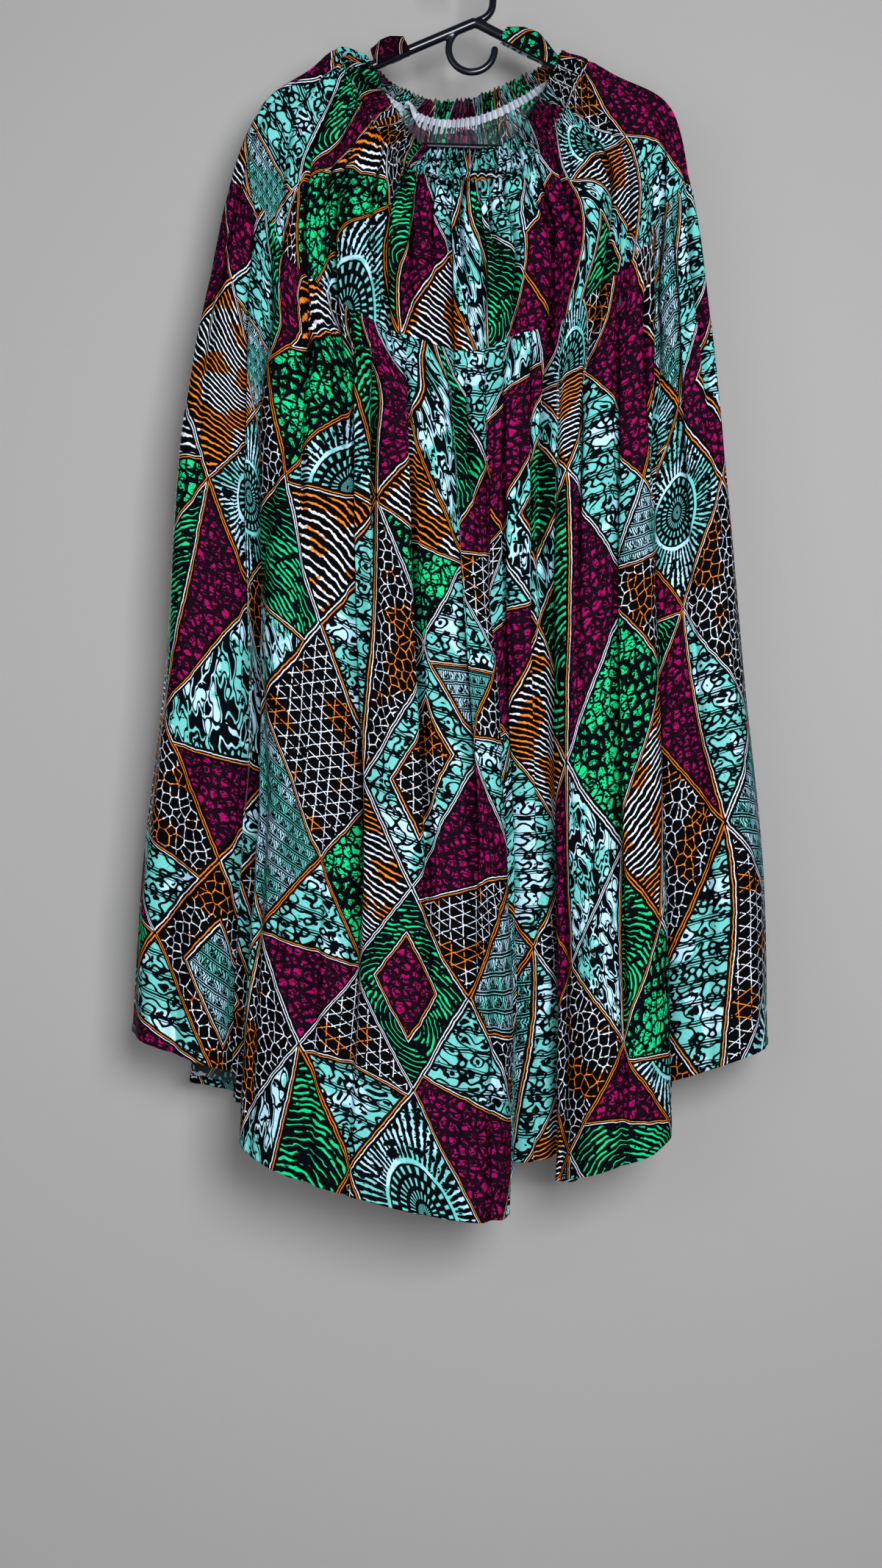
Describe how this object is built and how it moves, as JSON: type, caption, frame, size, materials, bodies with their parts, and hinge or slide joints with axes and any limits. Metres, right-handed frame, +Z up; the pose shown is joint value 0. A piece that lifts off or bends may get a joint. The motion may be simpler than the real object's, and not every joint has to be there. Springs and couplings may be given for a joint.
{
  "type": "maxi skirt on a plastic hanger",
  "caption": "Long tiered cotton skirt with a bright patchwork print and an elastic waist, hung wide on a black plastic hanger by its loops.",
  "frame": {"origin": "top of the inside of the hanger's hook, where the rail carries it", "axes": "+Z up, +X to the right of somebody looking at the front, -Y out of the front"},
  "size_m": [0.6364, 0.1439, 1.2642],
  "materials": {
    "printed_cotton": "plain-weave cotton, printed on one side, soft sheen",
    "waist_casing": "printed cotton ruffled over elastic",
    "loop_cotton_dark": "printed cotton strip, dark red",
    "loop_cotton_green": "printed cotton strip, green",
    "hanger_plastic": "moulded, glossy near-black"
  },
  "bodies": {
    "root": {"waistband_front": "waist_casing", "waistband_back": "waist_casing", "yoke_front": "printed_cotton", "yoke_back": "printed_cotton", "skirt_front": "printed_cotton", "skirt_back": "printed_cotton", "hang_loop_left": "loop_cotton_dark", "hang_loop_right": "loop_cotton_green", "hanger": "hanger_plastic"}
  },
  "joints": []
}
